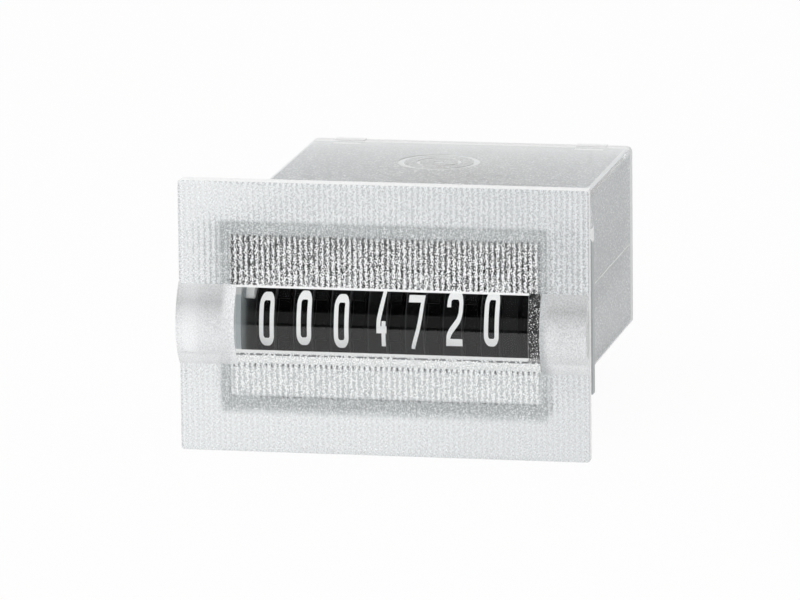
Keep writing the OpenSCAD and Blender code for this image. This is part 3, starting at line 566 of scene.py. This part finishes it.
# Near its top and bottom edges the plate is painted white, as a highlight on its rounded edge.
near_edge = ramp_mm(tree, reckon(tree, "ABSOLUTE", at_z), *edge_fade)
feed(plastic["Base Color"], blend(tree, near_edge, cover_tone, cover_edge_highlight))
cover.data.materials.append(cover_frost)
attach(cover, "housing")
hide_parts("rear_cover")


# The mechanism frame: one pale satin moulding with two cheeks, a roof, an apron below the window and a floor for
# the magnet. It slides into the body from behind. Its front is painted darker: the left cheek grey, the right
# cheek black, and the roof black as painted shade.
def dress(node, material):
    """Give a part that comes from the frame its finish."""
    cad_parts[node].data.materials.clear()
    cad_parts[node].data.materials.append(material)


def moulded(name, colour, rough, grain_size, relief, sheen=0.5):
    """Opaque satin plastic: a fine grain, a slow drift of tone and a little uneven gloss."""
    material, tree = new_material(name)
    place = add_node(tree, "TexCoord", name="place").outputs["Object"]
    drift, grain = noise(tree, place, 3, 2.0), noise(tree, place, grain_size, 3.0)
    toned = tones(tree, drift, (0, [c * 0.9 for c in colour]), (1, [min(1, c * 1.08) for c in colour]))
    bumps = add_node(tree, "Bump", Height=grain, Strength=relief, Distance=grain_size * 0.3 * MM)
    gloss = between(tree, drift, rough - 0.06, rough + 0.08)
    plastic = add_node(tree, "BsdfPrincipled", name="plastic", Base_Color=toned, Roughness=gloss, IOR=1.5,
                       Specular_IOR_Level=sheen, Normal=bumps.outputs["Normal"])
    add_node(tree, "OutputMaterial", Surface=plastic.outputs[0])
    return material


cheek_x, cheek_z, cheek_y, block_z, roof_z = 10.4, -2.05, 6.0, 1.1, 1.9
cheek_grey, block_grey, cheek_black = (0.34, 0.37, 0.38), (0.50, 0.505, 0.505), (0.012, 0.012, 0.013)
roof_shade_black, front_fade, roof_fade = (0.03, 0.03, 0.032), 0.5, 0.05
frame_pale = moulded("frame_pale", (0.74, 0.745, 0.74), 0.45, 0.12, 0.25)
tree, _, plastic, (at_x, at_y, at_z) = open_finish(frame_pale)
toned = plastic["Base Color"].links[0].from_socket
at_front = ramp_mm(tree, at_y, cheek_y + front_fade, cheek_y)
for way, from_z, dark_tone in ((-1, cheek_z, cheek_grey), (-1, block_z, block_grey), (1, cheek_z, cheek_black)):
    beyond = ramp_mm(tree, at_x, way * (cheek_x - 2 * hair), way * cheek_x)
    darkened = overlap(tree, at_front, ramp_mm(tree, at_z, from_z - 2 * hair, from_z), beyond)
    toned = blend(tree, darkened, toned, dark_tone)
# Painted shade: the roof's front is black.
on_roof = overlap(tree, at_front, ramp_mm(tree, at_z, roof_z, roof_z + roof_fade))
feed(plastic["Base Color"], blend(tree, on_roof, toned, roof_shade_black))
dress("mechanism_frame", frame_pale)


# The shafts, the armature's pin and the return spring: ground steel and spring wire. The shafts are pressed into
# the frame's cheeks and ears.
def metal(name, colour, rough, stretch, grain_size):
    """Bare or plated metal: fine lines along the way it was drawn or rolled, and a slow drift of gloss."""
    material, tree = new_material(name)
    place = add_node(tree, "TexCoord").outputs["Object"]
    drawn = add_node(tree, "Mapping", Vector=place, Scale=stretch).outputs["Vector"]
    lines = noise(tree, drawn, grain_size, 4.0, 0.6)
    bumps = add_node(tree, "Bump", Height=lines, Strength=0.15, Distance=0.01 * MM)
    bare = add_node(tree, "BsdfPrincipled", Base_Color=(*colour, 1), Metallic=1.0,
                    Roughness=between(tree, lines, rough - 0.1, rough + 0.12), Normal=bumps.outputs["Normal"])
    add_node(tree, "OutputMaterial", Surface=bare.outputs[0])
    return material


ground_steel = metal("ground_steel", (0.66, 0.67, 0.68), 0.28, (0.1, 1, 1), 0.08)
for node in ("number_shaft", "pinion_shaft", "armature_pin", "return_spring"):
    dress(node, ground_steel)

# The number wheels and the drive wheel: black acetal mouldings that run loose on their shaft. The edges of their
# rims are painted paler, as highlights where they catch the light. The transfer pinions behind them are of the
# same plastic.
wheel_y, wheel_z, wheel_r, rim_w, wheel_pitch, first_x = 5.75, -0.8, 4.6, 1.38, 2.75, -9.025
acetal_black, rim_highlight_grey = (0.003, 0.003, 0.0032), (0.10, 0.10, 0.104)
highlight_w, scuff_and_glint_size, scuff_and_glint_rough = 0.07, 0.25, 0.65
wheel_black, tree = new_material("wheel_black")
place = add_node(tree, "TexCoord").outputs["Object"]
at_x = add_node(tree, "SeparateXYZ", Vector=place).outputs["X"]
along = reckon(tree, "ADD", at_x, (wheel_pitch / 2 - first_x) * MM)
within = reckon(tree, "FLOORED_MODULO", along, wheel_pitch * MM)
off_middle = reckon(tree, "ABSOLUTE", reckon(tree, "SUBTRACT", within, wheel_pitch / 2 * MM))
rim_edge = ramp_mm(tree, off_middle, rim_w / 2 - highlight_w, rim_w / 2 - hair)
on_rim = reckon(tree, "LESS_THAN", off_middle, (rim_w / 2 + hair) * MM)
scuffs_and_glints = noise(tree, place, scuff_and_glint_size, 4.0, scuff_and_glint_rough)
# Painted highlight: the rims' edges are paler, broken up by the scuffs.
toned = tones(tree, overlap(tree, rim_edge, on_rim, scuffs_and_glints), (0, acetal_black), (1, rim_highlight_grey))
bumps = add_node(tree, "Bump", Height=scuffs_and_glints, Strength=0.12, Distance=0.02 * MM)
acetal = add_node(tree, "BsdfPrincipled", Base_Color=toned, IOR=1.48, Specular_IOR_Level=0.03,
                  Roughness=between(tree, scuffs_and_glints, 0.42, 0.6), Normal=bumps.outputs["Normal"])
add_node(tree, "OutputMaterial", Surface=acetal.outputs[0])
decades = ["millions", "hundred_thousands", "ten_thousands", "thousands", "hundreds", "tens", "units"]
for decade in decades:
    dress(decade + "_wheel", wheel_black)
gear_black = moulded("gear_black", (0.006, 0.006, 0.0065), 0.45, 0.1, 0.2, sheen=0.04)
for node in ["drive_wheel"] + [decade + "_pinion" for decade in decades[:-1]]:
    dress(node, gear_black)

# The numerals: white figures stamped on each rim, nought to nine, with the next figure below the last. Each
# wheel's figures stand a little off from the next wheel's, as the counter's play leaves them. A figure is one or
# two strokes, and a stroke is a list of corners, each with its radius; None closes the stroke.
stroke, thin_top, thin_from, thin_over, least_lean = 0.31, 0.12, 0.5, 0.4, 0.6
ink, ink_proud, ink_weld, figure_x, figure_turn = 0.01, 0.012, 0.001, 0.105, math.radians(36)
corner_steps, corner_pull, path_step = 8, 0.55, 0.09
top, foot, low_x, high_x = 0.905, -0.89, -0.385, 0.385
figures = [
    [[(low_x, top, 0.29), (low_x, foot, 0.30), (high_x, foot, 0.27), (high_x, top, 0.21), None]],
    [[(-0.28, 0.55, 0), (0.06, top, 0), (0.06, -1.06, 0)]],
    [[(-0.40, 0.51, 0), (-0.40, top, 0.3), (0.48, top, 0.3), (0.48, 0.12, 0.3), (-0.37, -0.56, 0.25),
      (-0.40, -0.90, 0), (0.64, -0.90, 0)]],
    [[(-0.42, 0.5, 0), (-0.42, top, 0.3), (high_x, top, 0.3), (high_x, 0.05, 0.3), (-0.1, 0.05, 0)],
     [(-0.095, 0.03, 0), (high_x, 0.03, 0.3), (high_x, foot, 0.3), (-0.42, foot, 0.3), (-0.42, -0.5, 0)]],
    [[(0.34, 1.05, 0), (-0.01, 0.0, 0.1), (-0.01, -0.385, 0), (0.58, -0.385, 0)],
     [(0.36, -0.03, 0), (0.36, -1.06, 0)]],
    [[(0.50, top, 0), (-0.38, top, 0), (-0.42, 0.16, 0), (high_x, 0.28, 0.25), (high_x, foot, 0.3),
      (-0.42, foot, 0.3), (-0.42, -0.5, 0)]],
    [[(0.42, 0.5, 0), (0.42, top, 0.3), (low_x, top, 0.3), (low_x, foot, 0.3), (high_x, foot, 0.3),
      (high_x, 0.1, 0.3), (-0.3, 0.1, 0)]],
    [[(-0.62, top, 0), (0.42, top, 0), (0.25, -0.05, 0.4), (-0.22, -0.99, 0.05), (-0.225, -1.06, 0)]],
    [[(-0.38, top, 0.28), (-0.38, 0.08, 0.28), (0.38, 0.08, 0.28), (0.38, top, 0.28), None],
     [(low_x, 0.08, 0.28), (low_x, foot, 0.3), (high_x, foot, 0.3), (high_x, 0.08, 0.28), None]],
    [[(-0.42, -0.5, 0), (-0.42, foot, 0.3), (high_x, foot, 0.3), (high_x, top, 0.3), (low_x, top, 0.3),
      (low_x, -0.1, 0.3), (0.3, -0.1, 0)]],
]
shown = [0, 0, 0, 4, 7, 2, 0]
lift = [0.02, 0.085, 0.02, 0.149, 0.08, 0.23, 0.26]
weight = [1, 1, 0.94, 1, 0.95, 1, 1, 0.84, 1, 1]


def stroke_path(corners):
    """Round a stroke's corners, then step along it finely enough to follow the rim."""
    closed = corners[-1] is None
    corners = [(Vector(corner[:2]), corner[2]) for corner in corners if corner]
    path = []
    for i, (here, radius) in enumerate(corners):
        if radius == 0:
            path.append(here)
            continue
        before, after = corners[i - 1][0], corners[(i + 1) % len(corners)][0]
        start = here + (before - here).normalized() * min(radius, (before - here).length / 2)
        end = here + (after - here).normalized() * min(radius, (after - here).length / 2)
        ends = start, start.lerp(here, corner_pull), end.lerp(here, corner_pull), end
        for t in (k / corner_steps for k in range(corner_steps + 1)):
            shares = (1 - t) ** 3, 3 * t * (1 - t) ** 2, 3 * t**2 * (1 - t), t**3
            path.append(sum((spot * share for spot, share in zip(ends, shares)), Vector((0, 0))))
    if closed:
        path.append(path[0])
    fine = [path[0]]
    for a, b in zip(path, path[1:]):
        count = max(1, math.ceil((b - a).length / path_step))
        fine += [a.lerp(b, k / count) for k in range(1, count + 1)]
    return fine, closed


numeral_white = moulded("numeral_white", (0.95, 0.95, 0.945), 0.5, 0.08, 0.15)
for i, decade in enumerate(decades):
    points, faces = [], []
    figures_x, reach = first_x + i * wheel_pitch + figure_x, wheel_r + ink_proud
    for figure, strokes in enumerate(figures):
        turned = -(figure - shown[i]) * figure_turn + lift[i] / wheel_r
        for corners in strokes:
            path, closed = stroke_path(corners)
            for k, spot in enumerate(path):
                back = path[k - 1] if k > 0 else path[-2] if closed else 2 * spot - path[1]
                ahead = path[k + 1] if k < len(path) - 1 else path[1] if closed else 2 * spot - path[k - 1]
                way = ((spot - back).normalized() + (ahead - spot).normalized()).normalized()
                lean = max(least_lean, way.dot((ahead - spot).normalized()))
                thinned = thin_top * min(1, max(0, (spot.y - thin_from) / thin_over))
                across = Vector((-way.y, way.x)) * stroke * weight[figure] * (1 - thinned) / 2 / lean
                for end in (spot + across, spot - across):
                    angle = turned + end.y / wheel_r
                    points.append(((figures_x + end.x) * MM, (wheel_y - reach * math.cos(angle)) * MM,
                                   (wheel_z + reach * math.sin(angle)) * MM))
                if k > 0:
                    n = len(points)
                    faces.append((n - 4, n - 3, n - 1, n - 2))
    mesh = bpy.data.meshes.new(decade + "_numerals")
    mesh.from_pydata(points, [], faces)
    numerals = bpy.data.objects.new(decade + "_numerals", mesh)
    bpy.context.scene.collection.objects.link(numerals)
    only(numerals)
    bpy.ops.object.mode_set(mode="EDIT")
    bpy.ops.mesh.select_all(action="SELECT")
    bpy.ops.mesh.remove_doubles(threshold=ink_weld * MM)
    bpy.ops.mesh.normals_make_consistent(inside=False)
    bpy.ops.object.mode_set(mode="OBJECT")
    skin = numerals.modifiers.new("skin", "SOLIDIFY")
    skin.thickness, skin.offset = ink * MM, -1
    bpy.ops.object.modifier_apply(modifier=skin.name)
    mesh.materials.append(numeral_white)
    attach(numerals, decade)

# The magnet: an iron core and yoke with a zinc finish, an ivory bobbin and its winding of enamelled copper wire.
# The armature swings on its pin in front of the core, and carries the grey anchor that steps the drive wheel.
wire_d, wire_crease_shade, wire_crest_highlight = 0.12, (0.22, 0.07, 0.03), (0.62, 0.29, 0.12)
zinc_iron = metal("zinc_iron", (0.50, 0.51, 0.52), 0.34, (1, 0.3, 1), 0.2)
for node in ("core", "yoke", "armature"):
    dress(node, zinc_iron)
dress("bobbin", moulded("bobbin_ivory", (0.78, 0.74, 0.64), 0.4, 0.15, 0.2))
dress("anchor", moulded("anchor_grey", (0.28, 0.29, 0.30), 0.4, 0.12, 0.2))
wound_copper, tree = new_material("wound_copper")
place = add_node(tree, "TexCoord").outputs["Object"]
# Each turn of wire is painted dark in the crease beside the next and light on its crest, as shade and highlight.
turns = add_node(tree, "TexWave", bands_direction="Y", Vector=place, Scale=math.pi / (10 * wire_d * MM),
                 Distortion=0.6, Detail=1.0).outputs["Fac"]
bumps = add_node(tree, "Bump", Height=turns, Strength=0.6, Distance=0.05 * MM)
wire = add_node(tree, "BsdfPrincipled", Base_Color=tones(tree, turns, (0, wire_crease_shade), (1, wire_crest_highlight)),
                Metallic=0.9, Roughness=0.32, Coat_Weight=0.6, Normal=bumps.outputs["Normal"])
add_node(tree, "OutputMaterial", Surface=wire.outputs[0])
dress("winding", wound_copper)

# The terminals: tinned brass tabs for the pulse leads. They are seated in the bobbin's rear flange, and pass
# through the cover's slots.
tinned_brass = metal("tinned_brass", (0.74, 0.73, 0.70), 0.3, (1, 0.2, 1), 0.15)
for node in ("terminal_left", "terminal_right"):
    dress(node, tinned_brass)

# The studio: a white table under a white backdrop, soft light from all round and one wide lamp from the upper
# left. In reflections, the room ahead of the table is dark, as it is behind the camera.
floor_z, table_size, table_grey, table_glow = -9.92, 6, 0.86, 0.95
dark_from_y, dark_to_y, soft_light = -120, -80, 0.58
room_levels = ((0.045, 0.25), (0.055, 0.0), (0.40, 0.0), (0.46, 1.0))
lamp_at, lamp_size, lamp_power = Vector((-0.25, -0.6, 0.6)), 0.9, 4.6


def seen_directly(tree):
    """1 for the rays that show the backdrop itself: straight to the camera, mirrored, or through clear plastic.
    The share of mirrored rays alone comes first."""
    path = add_node(tree, "LightPath").outputs
    outside = reckon(tree, "MAXIMUM", path["Is Camera Ray"], path["Is Glossy Ray"])
    return path["Is Glossy Ray"], reckon(tree, "MAXIMUM", outside, path["Is Transmission Ray"])


bpy.ops.object.select_all(action="DESELECT")
bpy.ops.mesh.primitive_plane_add(size=table_size, location=(0, 0, floor_z * MM))
table = settle()
table.name = table.data.name = "white_table"
table_white, tree = new_material("table_white")
place = add_node(tree, "TexCoord").outputs["Object"]
at_y = add_node(tree, "SeparateXYZ", Vector=place).outputs["Y"]
mirrored, direct = seen_directly(tree)
sheet = blend(tree, mirrored, (1, 1, 1), ramp_mm(tree, at_y, dark_from_y, dark_to_y))
paper = add_node(tree, "BsdfDiffuse", Color=(table_grey, table_grey, table_grey, 1))
glow = add_node(tree, "Emission", Color=sheet, Strength=1.0)
surface = mix_shaders(tree, overlap(tree, direct, table_glow), paper.outputs[0], glow.outputs[0])
add_node(tree, "OutputMaterial", Surface=surface)
table.data.materials.append(table_white)

world = bpy.data.worlds.new("studio")
bpy.context.scene.world = world
world.use_nodes = True
tree = world.node_tree
tree.nodes.clear()
view = add_node(tree, "TexCoord").outputs["Generated"]
ahead = ramp(tree, add_node(tree, "SeparateXYZ", Vector=view).outputs["Y"], -1.0, 1.0)
room_tone = tones(tree, ahead, *((at, (level, level, level)) for at, level in room_levels))
soft = add_node(tree, "Background", Color=(1, 1, 1, 1), Strength=soft_light)
backdrop = add_node(tree, "Background", Color=(1, 1, 1, 1), Strength=1.0)
room = add_node(tree, "Background", Color=room_tone, Strength=1.0)
mirrored, direct = seen_directly(tree)
shown_room = mix_shaders(tree, mirrored, backdrop.outputs[0], room.outputs[0])
add_node(tree, "OutputWorld", Surface=mix_shaders(tree, direct, soft.outputs[0], shown_room))

bpy.ops.object.light_add(type="AREA", location=lamp_at)
key = bpy.context.object
key.name = "wide_lamp"
key.data.shape, key.data.size, key.data.energy = "SQUARE", lamp_size, lamp_power
key.rotation_euler = lamp_at.to_track_quat("Z", "Y").to_euler()
key.visible_glossy = False

# The camera: azimuth and height of the photograph, and its small roll and shift. It stands far off behind a long
# lens, as the photograph's weak perspective shows.
azimuth, height, roll = math.radians(11.5), math.radians(11.67), math.radians(-0.6)
distance, lens_mm, sensor_mm = 0.6117, 383.0, 36.0
bpy.ops.object.camera_add()
camera = bpy.context.object
camera.data.lens, camera.data.sensor_width = lens_mm, sensor_mm
camera.data.clip_start, camera.data.clip_end = 0.05, 20
camera.location = (
    distance * math.sin(azimuth) * math.cos(height),
    -distance * math.cos(azimuth) * math.cos(height),
    distance * math.sin(height))
look = Matrix.Rotation(azimuth, 3, "Z") @ Matrix.Rotation(math.pi / 2 - height, 3, "X")
camera.rotation_euler = (look @ Matrix.Rotation(roll, 3, "Z")).to_euler()
camera.data.shift_x, camera.data.shift_y = 0.0165, 0.0221
bpy.context.scene.camera = camera
bpy.context.scene.view_settings.view_transform = "Standard"
